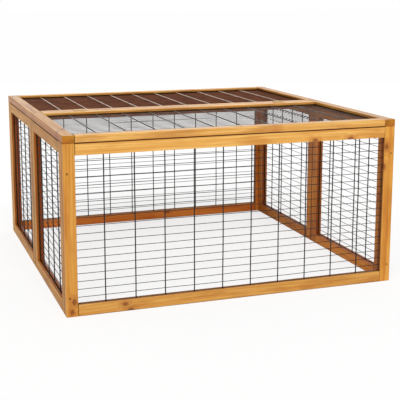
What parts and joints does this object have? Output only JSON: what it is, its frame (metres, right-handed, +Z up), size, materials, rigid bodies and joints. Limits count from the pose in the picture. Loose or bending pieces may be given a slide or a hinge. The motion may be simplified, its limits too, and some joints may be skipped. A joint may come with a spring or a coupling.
{
  "type": "rabbit run",
  "caption": "Square outdoor rabbit run with wooden frames, welded wire mesh walls and a two-part mesh lid whose front half lifts on hinges.",
  "frame": {"origin": "middle of the footprint, on the ground", "axes": "+X to the right along the front wall, +Y to the rear, +Z up"},
  "size_m": [1.16, 1.16, 0.5857],
  "materials": {
    "front_wood": "honey glazed, satin",
    "side_wood": "honey glazed, satin",
    "lid_wood": "honey glazed, satin",
    "wire": "galvanised, dull",
    "cover": "brown woven, matt",
    "hinge_metal": "zinc plated"
  },
  "bodies": {
    "frame": {"front_wall_bottom_rail": "front_wood", "front_wall_left_stile": "front_wood", "front_wall_mesh": "wire", "front_wall_right_stile": "front_wood", "front_wall_top_rail": "front_wood", "left_front_wall_bottom_rail": "side_wood", "left_front_wall_front_stile": "side_wood", "left_front_wall_mesh": "wire", "left_front_wall_rear_stile": "side_wood", "left_front_wall_top_rail": "side_wood", "left_hinge_fixed_leaf": "hinge_metal", "left_hinge_fixed_screw_1": "hinge_metal", "left_hinge_fixed_screw_2": "hinge_metal", "left_hinge_pin": "hinge_metal", "left_rear_wall_bottom_rail": "side_wood", "left_rear_wall_front_stile": "side_wood", "left_rear_wall_mesh": "wire", "left_rear_wall_rear_stile": "side_wood", "left_rear_wall_top_rail": "side_wood", "rear_lid_hinge_rail": "lid_wood", "rear_lid_left_side": "lid_wood", "rear_lid_mesh": "wire", "rear_lid_rear_rail": "lid_wood", "rear_lid_right_side": "lid_wood", "rear_lid_shade_cover": "cover", "rear_wall_bottom_rail": "front_wood", "rear_wall_left_stile": "front_wood", "rear_wall_mesh": "wire", "rear_wall_right_stile": "front_wood", "rear_wall_top_rail": "front_wood", "right_front_wall_bottom_rail": "side_wood", "right_front_wall_front_stile": "side_wood", "right_front_wall_mesh": "wire", "right_front_wall_rear_stile": "side_wood", "right_front_wall_top_rail": "side_wood", "right_hinge_fixed_leaf": "hinge_metal", "right_hinge_fixed_screw_1": "hinge_metal", "right_hinge_fixed_screw_2": "hinge_metal", "right_hinge_pin": "hinge_metal", "right_rear_wall_bottom_rail": "side_wood", "right_rear_wall_front_stile": "side_wood", "right_rear_wall_mesh": "wire", "right_rear_wall_rear_stile": "side_wood", "right_rear_wall_top_rail": "side_wood"},
    "front_lid": {"front_lid_front_rail": "lid_wood", "front_lid_hinge_rail": "lid_wood", "front_lid_left_side": "lid_wood", "front_lid_mesh": "wire", "front_lid_right_side": "lid_wood", "left_hinge_moving_leaf": "hinge_metal", "left_hinge_moving_screw_1": "hinge_metal", "left_hinge_moving_screw_2": "hinge_metal", "right_hinge_moving_leaf": "hinge_metal", "right_hinge_moving_screw_1": "hinge_metal", "right_hinge_moving_screw_2": "hinge_metal"}
  },
  "joints": [
    {"name": "front_lid_hinge", "type": "hinge", "parent": "frame", "child": "front_lid", "pos_m": [0, 0, 0.583], "axis": [-1, 0, 0], "range_deg": [0, 180]}
  ]
}
